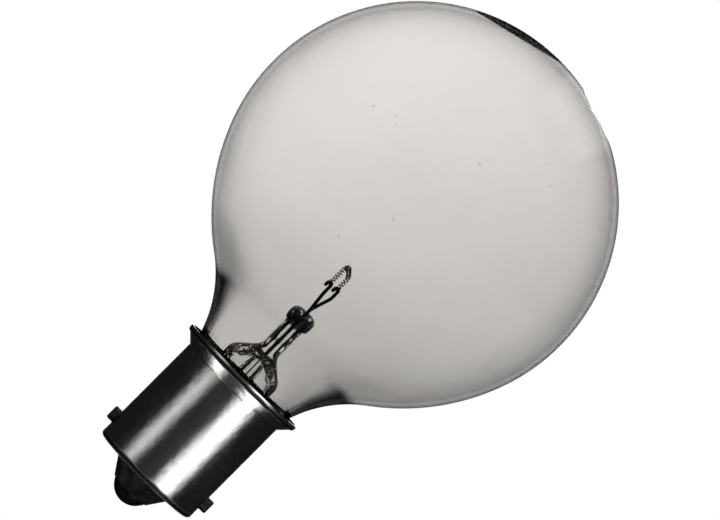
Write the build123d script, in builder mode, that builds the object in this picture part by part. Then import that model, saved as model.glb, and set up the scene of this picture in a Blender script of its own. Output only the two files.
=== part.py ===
from build123d import *

import math
import os

# A vanity bulb: a clear glass globe lamp on a single-contact bayonet cap.
# Lengths are in millimetres and angles in degrees. +Z runs along the lamp, from the cap to the
# globe. The origin is on the lamp's axis, level with the two bayonet pins, which point along X.

# Cap shell, a drawn cup with a flared rim
cap_diameter = 15.2
cap_wall = 0.2
cap_bend_radius = 0.3
cap_rise = 12.7  # from the pins up to the start of the flare
flare_slope = 45.0
rim_reach = 1.5  # beyond the shell
rim_lip = 0.5
base_opening_diameter = 10.0

# Bayonet pins, riveted through the shell
pin_diameter = 2.0
pin_reach = 0.95  # beyond the shell
pin_chamfer = 0.2
pin_shank_diameter = 1.3
pin_head_diameter = 2.4
pin_head_thickness = 0.35

# Black glass insulator with its end contact
insulator_thickness = 0.9  # on the floor of the shell
insulator_clearance = 0.5  # below the pins' rivet heads
nose_diameter = 8.9
nose_tip_diameter = 5.4
nose_length = 2.55
nose_rounding = 0.2
plate_diameter = 4.9
plate_thickness = 0.3
plate_rounding = 0.1
eyelet_diameter = 2.4
eyelet_bore = 1.4
contact_dome_diameter = 4.7
contact_dome_height = 1.4
solder_plug = 0.8

# Glass envelope: a straight neck, an outward curve, a shoulder and a globe
globe_diameter = 50.1
glass_wall = 0.55
shoulder_radius = 29.0
shoulder_drop = 20.0  # angle below the globe's equator where the shoulder begins
neck_curve_radius = 16.2
cement_gap = 0.5  # between the straight neck and the shell
neck_clearance = 0.25  # what is left of that gap at the start of the flare
neck_end_clearance = 1.8  # from the pins' rivet heads to the end of the neck
cement_rise = 1.5  # from the end of the neck to the cement

# Glass stem: a flared tube, a shoulder, a flat press and a bead squeezed out above it
stem_diameter = 8.1
stem_wall = 0.8
stem_flare_angle = 60.0
stem_flare_radius = 2.0
seal_height = 1.2  # from the end of the neck to the top of the fused seal
stem_tube_height = 13.2  # from the end of the neck to the shoulder
stem_shoulder_height = 3.6
stem_cavity_rise = 2.2  # how far the tube's hollow reaches into the shoulder
press_thickness = 2.7
press_width = 6.0
press_rounding = 1.1
press_height = 3.8
bead_thickness = 3.6
bead_width = 6.8
bead_height = 2.3
bead_corner = 1.6

# Exhaust tube, sealed off below the stem
exhaust_diameter = 2.4
exhaust_bore = 1.2
exhaust_stub = 2.0  # how far the tip stands below the end of the neck
exhaust_port_diameter = 0.9
exhaust_port_rise = 1.6  # from the hollow of the stem to the port

# Lead wires
seal_wire_diameter = 0.4
seal_wire_spacing = 0.55  # from the exhaust tube to a wire
outer_lead_diameter = 0.18
outer_lead_bend = 0.6
outer_lead_drop = 0.5  # the contact lead's bend, off the exhaust tip and off the insulator
inner_lead_diameter = 0.45
inner_lead_height = 4.3  # from the press's bead to the filament's ends
inner_lead_bend = 1.5
inner_lead_root = 0.35  # upright stretch above the bead
inner_lead_straight = 1.2  # upright stretch below the hook
hook_clearance = 0.015
hook_drop = 0.45

# Coiled filament, bent into an arch that is taller at its near leg
filament_wire_diameter = 0.13
coil_diameter = 0.54  # to the middle of the wire
coil_pitch = 0.4
arch_turn = 20.0  # from the plane of the leads
arch_span = 3.4
arch_near_rise = 3.5
arch_far_rise = 2.2
arch_bend = 0.9
tail_reach = 0.75  # from a leg of the arch to its hook
tail_end = 0.35  # past the hook
points_per_turn = 8

# Solder that joins the shell's lead to the rim
rim_solder_diameter = 1.05
rim_solder_azimuth = -40.0
rim_solder_rise = 0.35  # above the rim
rim_solder_clearance = 0.05  # to the lip and to the glass

# Cap, worked out from the sizes above
cap_radius = cap_diameter / 2
cap_bore_radius = cap_radius - cap_wall
opening_radius = base_opening_diameter / 2
pin_head_radius = pin_head_diameter / 2
insulator_top = -(pin_head_radius + insulator_clearance)
cap_floor = insulator_top - insulator_thickness
cap_bottom = cap_floor - cap_wall
flare_offset = cap_wall * math.tan(math.radians(flare_slope / 2))
flare_foot = cap_rise + flare_offset
rim_bore_radius = cap_bore_radius + rim_reach
flare_rise = rim_reach / math.tan(math.radians(flare_slope))
lip_foot = flare_foot + flare_rise
rim_top = lip_foot + rim_lip

# Contact
nose_tip = cap_bottom - nose_length
plate_bottom = nose_tip - plate_thickness
contact_tip = plate_bottom - contact_dome_height
eyelet_radius = eyelet_diameter / 2
eyelet_bore_radius = eyelet_bore / 2

# Envelope. The neck curve, the shoulder and the globe are arcs that touch each other.
globe_radius = globe_diameter / 2
neck_radius = cap_bore_radius - cement_gap
neck_bore_radius = neck_radius - glass_wall
neck_end = pin_head_radius + neck_end_clearance
neck_widening = cement_gap - neck_clearance
neck_bend = cap_rise - math.sqrt(2 * neck_curve_radius * neck_widening - neck_widening**2)
shoulder_reach = shoulder_radius - globe_radius
shoulder_x = -shoulder_reach * math.cos(math.radians(shoulder_drop))
neck_curve_x = neck_radius + neck_curve_radius
arcs_apart = neck_curve_radius + shoulder_radius
neck_turn = math.degrees(math.acos((neck_curve_x - shoulder_x) / arcs_apart))
shoulder_z = neck_bend + arcs_apart * math.sin(math.radians(neck_turn))
globe_z = shoulder_z - shoulder_reach * math.sin(math.radians(shoulder_drop))
globe_top = globe_z + globe_radius

# Stem and leads
stem_radius = stem_diameter / 2
seal_slope = (neck_bore_radius - stem_radius) / math.tan(math.radians(stem_flare_angle))
stem_flare_top = neck_end + seal_height + seal_slope
stem_shoulder = neck_end + stem_tube_height
stem_cavity_top = stem_shoulder + stem_cavity_rise
press_foot = stem_shoulder + stem_shoulder_height
bead_foot = press_foot + press_height
bead_top = bead_foot + bead_height
bead_rounding = 0.45 * min(bead_height, bead_thickness)
exhaust_radius = exhaust_diameter / 2
exhaust_bore_radius = exhaust_bore / 2
exhaust_tip = neck_end - exhaust_stub
exhaust_port = stem_cavity_top + exhaust_port_rise
lead_y = exhaust_radius + seal_wire_spacing + seal_wire_diameter / 2

# Filament and hooks. Along and across are the level directions of the arch's plane.
coil_radius = coil_diameter / 2
arch_along = Vector(math.sin(math.radians(arch_turn)), math.cos(math.radians(arch_turn)), 0)
arch_across = Vector(math.cos(math.radians(arch_turn)), -math.sin(math.radians(arch_turn)), 0)
hook_radius = (inner_lead_diameter + filament_wire_diameter) / 2 + hook_clearance
hook_z = bead_top + inner_lead_height


def envelope_outline(inset):
    """Draw the envelope's half outline, from the end of the neck to the top of the globe.

    The line lies inside the glass's outer face by inset.
    """
    Line((neck_radius - inset, neck_end), (neck_radius - inset, neck_bend))
    CenterArc((neck_curve_x, neck_bend), neck_curve_radius + inset, 180, -neck_turn)
    CenterArc((shoulder_x, shoulder_z), shoulder_radius - inset, -neck_turn, neck_turn - shoulder_drop)
    CenterArc((0, globe_z), globe_radius - inset, -shoulder_drop, 90 + shoulder_drop)


def envelope_body(clearance):
    """Make the envelope as a full body, larger than the glass by clearance."""
    with BuildPart() as body:
        with BuildSketch(Plane.XZ):
            with BuildLine():
                envelope_outline(-clearance)
                Polyline((0, globe_top + clearance), (0, neck_end), (neck_radius + clearance, neck_end))
            make_face()
        revolve(axis=Axis.Z)
    return body


def bent_wire(diameter, bends, *points):
    """Make a round wire of straight runs joined by bends."""
    with BuildPart() as wire:
        with BuildLine() as route:
            FilletPolyline(*points, radius=bends)
        with BuildSketch(Plane(origin=route.line @ 0, z_dir=route.line % 0)):
            Circle(diameter / 2)
        sweep()
    return wire


def seal_wire(side):
    """Make the wire that is fused into the press, on one side of the exhaust tube."""
    with BuildPart() as wire:
        with BuildSketch(Plane.XY.offset(stem_cavity_top)):
            with Locations((0, side * lead_y)):
                Circle(seal_wire_diameter / 2)
        extrude(amount=bead_top - stem_cavity_top)
    return wire


def inner_lead(side):
    """Make a lead from the press to the filament, with a hook folded over the filament's tail."""
    hook = side * ((arch_span / 2 + tail_reach) * arch_along - coil_radius * arch_across)
    offset_across = hook_radius * arch_across
    level = Vector(0, 0, hook_z)
    rise = hook + offset_across + level
    fall = hook - offset_across + level
    with BuildPart() as lead:
        with BuildLine() as route:
            FilletPolyline(
                (0, side * lead_y, bead_top),
                (0, side * lead_y, bead_top + inner_lead_root),
                rise - Vector(0, 0, inner_lead_straight),
                rise,
                radius=inner_lead_bend,
            )
            ThreePointArc(rise, hook + level + Vector(0, 0, hook_radius), fall)
            Line(fall, fall - Vector(0, 0, hook_drop))
        with BuildSketch(Plane(origin=route.line @ 0, z_dir=(0, 0, 1))):
            Circle(inner_lead_diameter / 2)
        sweep()
    return lead


# Glass envelope
with BuildPart() as glass_globe:
    with BuildSketch(Plane.XZ):
        with BuildLine():
            envelope_outline(0)
            Line((0, globe_top), (0, globe_top - glass_wall))
            envelope_outline(glass_wall)
            Line((neck_bore_radius, neck_end), (neck_radius, neck_end))
        make_face()
    revolve(axis=Axis.Z)

# Stem: its flare is trimmed to the neck's bore, where the two are fused
with BuildPart() as stem_bead:
    with BuildSketch(Plane.XY.offset(bead_foot)):
        RectangleRounded(bead_thickness, bead_width, bead_corner)
    extrude(amount=bead_height)
    fillet(faces().sort_by(Axis.Z)[0].edges() + faces().sort_by(Axis.Z)[-1].edges(), bead_rounding)

with BuildPart() as glass_stem:
    with BuildSketch(Plane.XZ):
        with BuildLine():
            FilletPolyline(
                (neck_bore_radius + stem_wall, stem_flare_top - seal_slope - stem_wall),
                (stem_radius, stem_flare_top),
                (stem_radius, stem_shoulder),
                radius=stem_flare_radius,
            )
            offset(amount=stem_wall, side=Side.LEFT, closed=True)
        make_face()
    revolve(axis=Axis.Z)
    Cylinder(neck_bore_radius, 2 * stem_shoulder, mode=Mode.INTERSECT)
    with BuildSketch(Plane.XY.offset(stem_shoulder)):
        Circle(stem_radius)
    with BuildSketch(Plane.XY.offset(press_foot)):
        RectangleRounded(press_thickness, press_width, press_rounding)
    loft()
    with BuildSketch(Plane.XY.offset(press_foot)):
        RectangleRounded(press_thickness, press_width, press_rounding)
    extrude(amount=press_height + bead_height / 2)
    add(stem_bead.part)
    # The hollow of the tube, up into the shoulder
    cavity_share = stem_cavity_rise / stem_shoulder_height
    cavity_thickness = stem_diameter + cavity_share * (press_thickness - stem_diameter) - 2 * stem_wall
    cavity_width = stem_diameter + cavity_share * (press_width - stem_diameter) - 2 * stem_wall
    with BuildSketch(Plane.XY.offset(stem_shoulder)):
        Circle(stem_radius - stem_wall)
    with BuildSketch(Plane.XY.offset(stem_cavity_top)):
        Ellipse(cavity_thickness / 2, cavity_width / 2)
    loft(mode=Mode.SUBTRACT)
    # Exhaust way with its side port, and the bores round the seal wires
    with BuildSketch(Plane.XY.offset(stem_cavity_top)):
        Circle(exhaust_bore_radius)
    extrude(amount=exhaust_port_rise, mode=Mode.SUBTRACT)
    with BuildSketch(Plane.YZ):
        with Locations((0, exhaust_port)):
            Circle(exhaust_port_diameter / 2)
    extrude(amount=stem_radius, mode=Mode.SUBTRACT)
    with BuildSketch(Plane.XY.offset(stem_cavity_top)):
        with Locations((0, -lead_y), (0, lead_y)):
            Circle(seal_wire_diameter / 2)
    extrude(amount=bead_top - stem_cavity_top, mode=Mode.SUBTRACT)

# Exhaust tube with its round seal
with BuildPart() as exhaust_tube:
    with BuildSketch(Plane.XZ):
        with BuildLine():
            seal_centre = exhaust_tip + exhaust_radius
            CenterArc((0, seal_centre), exhaust_radius, -90, 90)
            Polyline(
                (exhaust_radius, seal_centre),
                (exhaust_radius, stem_cavity_top),
                (exhaust_bore_radius, stem_cavity_top),
                (exhaust_bore_radius, seal_centre),
                (0, seal_centre - exhaust_bore_radius / 2),
                (0, exhaust_tip),
            )
        make_face()
    revolve(axis=Axis.Z)

# Leads: near is the -Y side, far is the +Y side
seal_wire_near = seal_wire(-1)
seal_wire_far = seal_wire(1)
inner_lead_near = inner_lead(-1)
inner_lead_far = inner_lead(1)

contact_lead = bent_wire(
    outer_lead_diameter,
    outer_lead_bend,
    (0, lead_y, stem_cavity_top),
    (0, lead_y, exhaust_tip - outer_lead_drop),
    (0, 0, insulator_top + outer_lead_drop),
    (0, 0, plate_bottom - contact_dome_height / 2),
)

# The shell's lead passes under the neck and up between the neck and the shell to the rim
solder_direction = Vector(1, 0, 0).rotate(Axis.Z, rim_solder_azimuth)
solder_radius = rim_solder_diameter / 2
solder_centre = solder_direction * (rim_bore_radius - rim_solder_clearance - solder_radius)
solder_centre += Vector(0, 0, rim_top + rim_solder_rise - solder_radius)
lead_climb = solder_direction * (cap_bore_radius - neck_clearance / 2)
lead_pass = (neck_end + pin_head_radius) / 2
shell_lead = bent_wire(
    outer_lead_diameter,
    (outer_lead_bend, outer_lead_bend, outer_lead_diameter),
    (0, -lead_y, stem_cavity_top),
    (0, -lead_y, lead_pass),
    (lead_climb.X, lead_climb.Y, lead_pass),
    (lead_climb.X, lead_climb.Y, cap_rise),
    solder_centre,
)

# Filament: the coil winds round an arch, and its straight tails lie in the hooks
with BuildPart() as filament:
    near_foot = arch_along * (-arch_span / 2) + Vector(0, 0, hook_z)
    far_foot = arch_along * (arch_span / 2) + Vector(0, 0, hook_z)
    with BuildLine(mode=Mode.PRIVATE) as arch:
        FilletPolyline(
            near_foot,
            near_foot + Vector(0, 0, arch_near_rise),
            far_foot + Vector(0, 0, arch_far_rise),
            far_foot,
            radius=arch_bend,
        )
    arch_line = arch.wire()
    turns = round(arch_line.length / coil_pitch) + 0.5
    steps = round(turns * points_per_turn)
    coil_points = []
    for step in range(steps + 1):
        share = step / steps
        swing = math.radians(360 * turns * share)
        inward = (arch_line % share).cross(arch_across)
        radial = arch_across * math.cos(swing) + inward * math.sin(swing)
        coil_points.append((arch_line @ share) + radial * coil_radius)
    with BuildLine():
        Spline(*coil_points, tangents=(arch_along, arch_along), tangent_scalars=(1, 1))
    with BuildSketch(Plane(origin=coil_points[0], z_dir=arch_along)):
        Circle(filament_wire_diameter / 2)
    sweep(is_frenet=True)
    coil_start = Plane(origin=coil_points[0], z_dir=-arch_along)
    coil_end = Plane(origin=coil_points[-1], z_dir=arch_along)
    with BuildSketch(coil_start, coil_end):
        Circle(filament_wire_diameter / 2)
    extrude(amount=tail_reach + tail_end)

# Cap shell: one sheet from the base opening to the rim, with holes for the pins
with BuildPart() as cap_shell:
    with BuildSketch(Plane.XZ):
        with BuildLine():
            FilletPolyline(
                (opening_radius, cap_floor),
                (cap_bore_radius, cap_floor),
                (cap_bore_radius, flare_foot),
                (rim_bore_radius, lip_foot),
                (rim_bore_radius, rim_top),
                radius=(cap_bend_radius, cap_bend_radius + cap_wall, cap_bend_radius),
            )
            offset(amount=cap_wall, side=Side.RIGHT, closed=True)
        make_face()
    revolve(axis=Axis.Z)
    with BuildSketch(Plane.YZ):
        Circle(pin_shank_diameter / 2)
    extrude(amount=cap_diameter, both=True, mode=Mode.SUBTRACT)

# Bayonet pins: a stud on the outside of the shell, a shank through it and a rivet head inside
with BuildPart() as pin_stud:
    with BuildSketch(Plane.YZ):
        Circle(pin_diameter / 2)
    extrude(amount=cap_radius + pin_reach)
    chamfer(faces().sort_by(Axis.X)[-1].edges(), pin_chamfer)
    Cylinder(cap_radius, 2 * cap_rise, mode=Mode.SUBTRACT)

with BuildPart() as pin_head:
    with BuildSketch(Plane.YZ.offset(cap_bore_radius - pin_head_thickness)):
        Circle(pin_head_radius)
    extrude(amount=pin_head_thickness)
    Cylinder(cap_bore_radius, 2 * cap_rise, mode=Mode.INTERSECT)

with BuildPart() as bayonet_pin_right:
    with BuildSketch(Plane.YZ.offset(cap_bore_radius - pin_head_thickness)):
        Circle(pin_shank_diameter / 2)
    extrude(amount=pin_head_thickness + cap_wall)
    add(pin_stud.part)
    add(pin_head.part)

with BuildPart() as bayonet_pin_left:
    mirror(bayonet_pin_right.part, about=Plane.YZ)

# Insulator: a disc on the floor of the shell with a blunt cone through the base opening
with BuildPart() as insulator:
    with BuildSketch(Plane.XZ):
        with BuildLine():
            FilletPolyline(
                (eyelet_radius, insulator_top),
                (cap_bore_radius, insulator_top),
                (cap_bore_radius, cap_floor),
                (opening_radius, cap_floor),
                (opening_radius, cap_bottom),
                (nose_diameter / 2, cap_bottom),
                (nose_tip_diameter / 2, nose_tip),
                (eyelet_radius, nose_tip),
                radius=(0, 0, cap_bend_radius, 0, 0, 0, nose_rounding, 0),
                close=True,
            )
        make_face()
    revolve(axis=Axis.Z)

# End contact: a brass eyelet plate, closed by a dome of solder round the contact lead
with BuildPart() as contact_plate:
    with BuildSketch(Plane.XZ):
        with BuildLine():
            FilletPolyline(
                (eyelet_bore_radius, insulator_top),
                (eyelet_radius, insulator_top),
                (eyelet_radius, nose_tip),
                (plate_diameter / 2, nose_tip),
                (plate_diameter / 2, plate_bottom),
                (eyelet_bore_radius, plate_bottom),
                radius=(0, 0, 0, plate_rounding, plate_rounding, 0),
                close=True,
            )
        make_face()
    revolve(axis=Axis.Z)

with BuildPart() as contact_solder:
    with BuildSketch(Plane.XZ):
        with BuildLine():
            TangentArc((0, contact_tip), (contact_dome_diameter / 2, plate_bottom), tangent=(1, 0))
            Polyline(
                (contact_dome_diameter / 2, plate_bottom),
                (eyelet_bore_radius, plate_bottom),
                (eyelet_bore_radius, plate_bottom + solder_plug),
                (0, plate_bottom + solder_plug),
                (0, contact_tip),
            )
        make_face()
    revolve(axis=Axis.Z)
    add(contact_lead.part, mode=Mode.SUBTRACT)

# Cement round the neck
with BuildPart() as cement:
    with BuildSketch(Plane.XY.offset(neck_end + cement_rise)):
        Circle(cap_bore_radius)
        Circle(neck_bore_radius, mode=Mode.SUBTRACT)
    extrude(amount=cap_rise - neck_end - cement_rise)
    add(envelope_body(0).part, mode=Mode.SUBTRACT)
    add(shell_lead.part, mode=Mode.SUBTRACT)

# The solder stands as a round-topped drop on the flare, inside the lip
with BuildPart() as solder_drop:
    with BuildSketch(Plane.XY.offset(flare_foot)):
        with Locations((solder_centre.X, solder_centre.Y)):
            Circle(solder_radius)
    extrude(amount=rim_top + rim_solder_rise - flare_foot)
    fillet(faces().sort_by(Axis.Z)[-1].edges(), 0.85 * solder_radius)

with BuildPart() as rim_solder:
    with BuildSketch(Plane.XZ):
        with BuildLine():
            Polyline(
                (0, flare_foot),
                (cap_bore_radius, flare_foot),
                (rim_bore_radius, lip_foot),
                (rim_bore_radius, rim_top + rim_solder_diameter),
                (0, rim_top + rim_solder_diameter),
                close=True,
            )
        make_face()
    revolve(axis=Axis.Z)
    add(solder_drop.part, mode=Mode.INTERSECT)
    add(cap_shell.part, mode=Mode.SUBTRACT)
    add(envelope_body(rim_solder_clearance).part, mode=Mode.SUBTRACT)
    add(shell_lead.part, mode=Mode.SUBTRACT)

pieces = {
    "glass_globe": glass_globe,
    "glass_stem": glass_stem,
    "exhaust_tube": exhaust_tube,
    "seal_wire_near": seal_wire_near,
    "seal_wire_far": seal_wire_far,
    "inner_lead_near": inner_lead_near,
    "inner_lead_far": inner_lead_far,
    "contact_lead": contact_lead,
    "shell_lead": shell_lead,
    "filament": filament,
    "cap_shell": cap_shell,
    "bayonet_pin_left": bayonet_pin_left,
    "bayonet_pin_right": bayonet_pin_right,
    "insulator": insulator,
    "contact_plate": contact_plate,
    "contact_solder": contact_solder,
    "cement": cement,
    "rim_solder": rim_solder,
}

os.makedirs("parts", exist_ok=True)
for name, piece in pieces.items():
    piece.part.label = name
    export_step(piece.part, f"parts/{name}.step")
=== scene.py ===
import logging
import math
from collections.abc import Iterator
from dataclasses import dataclass
from enum import Enum
from functools import partial, reduce
from typing import Union

import bmesh
import bpy
from mathutils import Matrix, Vector


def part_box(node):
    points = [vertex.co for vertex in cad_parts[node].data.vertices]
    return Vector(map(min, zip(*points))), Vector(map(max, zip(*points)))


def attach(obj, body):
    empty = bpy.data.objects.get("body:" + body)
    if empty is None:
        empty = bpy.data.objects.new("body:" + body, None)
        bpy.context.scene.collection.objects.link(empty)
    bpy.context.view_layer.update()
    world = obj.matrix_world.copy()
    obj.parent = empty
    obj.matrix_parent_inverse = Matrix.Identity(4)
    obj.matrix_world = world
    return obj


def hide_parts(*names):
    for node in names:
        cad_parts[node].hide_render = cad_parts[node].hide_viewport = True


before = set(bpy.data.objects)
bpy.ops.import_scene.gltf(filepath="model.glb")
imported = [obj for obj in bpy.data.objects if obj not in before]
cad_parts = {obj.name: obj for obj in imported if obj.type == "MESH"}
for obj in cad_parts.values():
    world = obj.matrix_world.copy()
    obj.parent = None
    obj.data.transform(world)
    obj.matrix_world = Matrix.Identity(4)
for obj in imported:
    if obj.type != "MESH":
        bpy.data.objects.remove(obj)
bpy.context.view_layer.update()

LOG = logging.getLogger("vanity_bulb")
MM = 0.001

Thing = bpy.types.Object
Socket = bpy.types.NodeSocket
Outlets = bpy.types.NodeOutputs
Pair = tuple[float, float]
Point = tuple[float, float, float]
Colour = tuple[float, float, float]
Source = Union[Socket, float, Colour]
Sources = Union[tuple[Source, ...], dict[str, Source]]
Span = tuple[Source, Source]
Ring = list[Point]
Faces = list[tuple[int, ...]]
Tones = tuple[Pair, ...]

# Stretches of a place: as it is, without its height, without its depth, drawn out along Z.
EVEN = (1.0, 1.0, 1.0)
LEVEL = (1.0, 1.0, 0.0)
UPRIGHT = (1.0, 0.0, 1.0)
LENGTHWISE = (1.0, 1.0, 0.012)

# Spans that tell a ray's first, second or fourth mirror or wall from those after it.
ONCE = (1.0, 2.0)
TWICE = (2.0, 3.0)
FOUR_TIMES = (4.0, 5.0)


class Make(Enum):
    """How a metal's surface came about."""

    DRAWN = "drawn"
    CAST = "cast"


class Way(Enum):
    """What a card's tones are measured along."""

    ROUND = "degrees from the camera to the right"
    ACROSS = "metres to the right"


class NodeSheet:
    """A shader node tree that is filled one node at a time."""

    def __init__(self, tree: bpy.types.NodeTree) -> None:
        """Keep the tree to fill."""
        self.tree = tree

    def add(self, kind: str, sources: Sources = (), **settings: object) -> bpy.types.Node:
        """Add one node.

        Args:
            kind: The node's type name.
            sources: Sockets or plain values for its inputs, by name or in order.
            **settings: Attributes to set on the node.

        Returns:
            The new node.
        """
        node = self.tree.nodes.new(kind)
        for name, value in settings.items():
            setattr(node, name, value)
        for key, source in sources.items() if isinstance(sources, dict) else enumerate(sources):
            socket = node.inputs[key]
            if isinstance(source, Socket):
                self.tree.links.new(source, socket)
            else:
                socket.default_value = (*source, 1.0) if socket.type == "RGBA" else source
        return node

    def sum(self, operation: str, *numbers: Source, clamp: bool = False) -> Socket:
        """Work out one of the Math node's operations."""
        return self.add("ShaderNodeMath", numbers, operation=operation, use_clamp=clamp).outputs[0]

    def product(self, *factors: Source) -> Socket:
        """Multiply two or more values."""
        return reduce(partial(self.sum, "MULTIPLY"), factors)

    def most(self, *values: Source) -> Socket:
        """Take the greatest of two or more values."""
        return reduce(partial(self.sum, "MAXIMUM"), values)

    def vector(self, operation: str, *vectors: Source) -> Socket:
        """Work out one of the Vector Math node's operations."""
        outlet = "Value" if operation in ("DOT_PRODUCT", "LENGTH") else "Vector"
        return self.add("ShaderNodeVectorMath", vectors, operation=operation).outputs[outlet]

    def ramp(self, value: Source, span: Span, start: Source = 0.0, end: Source = 1.0) -> Socket:
        """Map a value smoothly from a span to the range from start to end."""
        numbers = (value, *span, start, end)
        return self.add("ShaderNodeMapRange", numbers, interpolation_type="SMOOTHSTEP").outputs[0]

    def fall(self, value: Source, span: Span) -> Socket:
        """Go smoothly from 1 to 0 over a span of the value."""
        return self.ramp(value, span, 1.0, 0.0)

    def mix(self, share: Source, first: Source, second: Source) -> Socket:
        """Go smoothly from one value to another as the share goes from 0 to 1."""
        return self.ramp(share, (0.0, 1.0), first, second)

    def blend(self, share: Source, first: Source, second: Source, way: str = "MIX") -> Socket:
        """Mix two colours by the share of the second."""
        fed = {"Factor": share, "A": first, "B": second}
        return self.add("ShaderNodeMix", fed, data_type="RGBA", blend_type=way).outputs["Result"]

    def grey(self, value: Source) -> Socket:
        """Turn a value into a grey colour."""
        return self.add("ShaderNodeCombineColor", (value, value, value)).outputs["Color"]

    def place(self, stretch: Point = EVEN) -> Socket:
        """Give the place on the object, stretched along its axes."""
        where = self.add("ShaderNodeTexCoord").outputs["Object"]
        return self.vector("MULTIPLY", where, stretch)

    def along(self, way: Point) -> Socket:
        """Give how far the place lies in one direction."""
        return self.vector("DOT_PRODUCT", self.place(), way)

    def axis(self, name: str) -> Socket:
        """Give the place along X, Y or Z."""
        return self.add("ShaderNodeSeparateXYZ", (self.place(),)).outputs[name]

    def noise(self, where: Source, size: Source, detail: float, rough: float = 0.55) -> Socket:
        """Give a cloudy noise from 0 to 1, with so many clouds to a metre."""
        fed = {"Vector": where, "Scale": size, "Detail": detail, "Roughness": rough}
        return self.add("ShaderNodeTexNoise", fed).outputs["Fac"]

    def cells(self, where: Source, size: Source, feature: str) -> Socket:
        """Give the distance to the nearest cell's middle, with so many cells to a metre."""
        fed = {"Vector": where, "Scale": size}
        return self.add("ShaderNodeTexVoronoi", fed, feature=feature).outputs["Distance"]

    def facing(self, normal: Union[Socket, None] = None) -> Socket:
        """Tell how far the surface, or a direction, turns from the eye: 0 for not, 1 at an edge."""
        fed = {} if normal is None else {"Normal": normal}
        return self.add("ShaderNodeLayerWeight", fed).outputs["Facing"]

    def path(self, name: str) -> Socket:
        """Give one of the light path's values."""
        return self.add("ShaderNodeLightPath").outputs[name]

    def eye_ray(self) -> Socket:
        """Tell whether a ray comes from the eye, straight or by way of mirrors and glass."""
        ways = ("Is Camera Ray", "Is Glossy Ray", "Is Transmission Ray")
        return self.most(*(self.path(way) for way in ways))

    def bump(self, height: Source, depth: float) -> Socket:
        """Turn a height, so deep in metres, into a normal."""
        return self.add("ShaderNodeBump", {"Height": height, "Distance": depth}).outputs["Normal"]

    def surface(self, colour: Source, rough: Source, **others: Source) -> Socket:
        """Add the Principled shader."""
        fed = {"Base Color": colour, "Roughness": rough, **others}
        return self.add("ShaderNodeBsdfPrincipled", fed).outputs["BSDF"]

    def glow(self, strength: Source) -> Socket:
        """Add a white glow."""
        return self.add("ShaderNodeEmission", {"Strength": strength}).outputs["Emission"]

    def layer(self, share: Source, below: Socket, above: Socket) -> Socket:
        """Mix two shaders by the share of the one above."""
        return self.add("ShaderNodeMixShader", (share, below, above)).outputs["Shader"]


class Effect:
    """A surface effect that several finishes share, kept as one node group."""

    name: str = ""
    inlets: tuple[str, ...] = ()
    outlets: tuple[str, ...] = ()

    def group(self) -> bpy.types.NodeTree:
        """Build the group once.

        Returns:
            The node group.
        """
        if self.name in bpy.data.node_groups:
            return bpy.data.node_groups[self.name]
        tree = bpy.data.node_groups.new(self.name, "ShaderNodeTree")
        for way, names in (("INPUT", self.inlets), ("OUTPUT", self.outlets)):
            for name in names:
                tree.interface.new_socket(name, in_out=way, socket_type="NodeSocketFloat")
        sheet = NodeSheet(tree)
        given = sheet.add("NodeGroupInput").outputs
        sheet.add("NodeGroupOutput", self.fill(sheet, given))
        return tree

    def fill(self, sheet: NodeSheet, given: Outlets) -> dict[str, Socket]:
        """Add the effect's nodes and give a socket for each outlet."""
        raise NotImplementedError

    def use(self, sheet: NodeSheet, **values: float) -> Outlets:
        """Place the group in a material, with values for its inputs."""
        return sheet.add("ShaderNodeGroup", values, node_tree=self.group()).outputs


class GlassSkin(Effect):
    """The waves, specks and thin film of worked glass."""

    name = "glass_skin"
    inlets = ("Waves", "Specks")
    outlets = ("Height", "Speck", "Film")
    speck_edge: Pair = (0.05, 0.12)
    patches: float = 160.0
    patch_edge: Pair = (0.56, 0.62)
    film_clouds: float = 70.0

    def fill(self, sheet: NodeSheet, given: Outlets) -> dict[str, Socket]:
        """Add waves, rare specks and a cloudy film.

        Args:
            sheet: The group's sheet.
            given: The group's inputs.

        Returns:
            A socket for each outlet.
        """
        where = sheet.place()
        dots = sheet.fall(sheet.cells(where, given["Specks"], "F1"), self.speck_edge)
        rare = sheet.ramp(sheet.noise(where, self.patches, detail=2.0), self.patch_edge)
        return {
            "Height": sheet.noise(where, given["Waves"], detail=1.0, rough=0.4),
            "Speck": sheet.product(dots, rare),
            "Film": sheet.noise(where, self.film_clouds, detail=4.0, rough=0.6),
        }


class Mottle(Effect):
    """Cloudy tarnish with finer spots in it."""

    name = "mottle"
    inlets = ("Size", "Spots")
    outlets = ("Tarnish", "Spots")
    cloud_edge: Pair = (0.35, 0.68)
    spot_edge: Pair = (0.5, 0.72)

    def fill(self, sheet: NodeSheet, given: Outlets) -> dict[str, Socket]:
        """Add broad clouds and fine spots.

        Args:
            sheet: The group's sheet.
            given: The group's inputs.

        Returns:
            A socket for each outlet.
        """
        where = sheet.place()
        clouds = sheet.noise(where, given["Size"], detail=4.0, rough=0.6)
        spots = sheet.noise(where, given["Spots"], detail=2.0, rough=0.5)
        tarnish = sheet.ramp(clouds, self.cloud_edge)
        return {"Tarnish": tarnish, "Spots": sheet.ramp(spots, self.spot_edge)}


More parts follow.
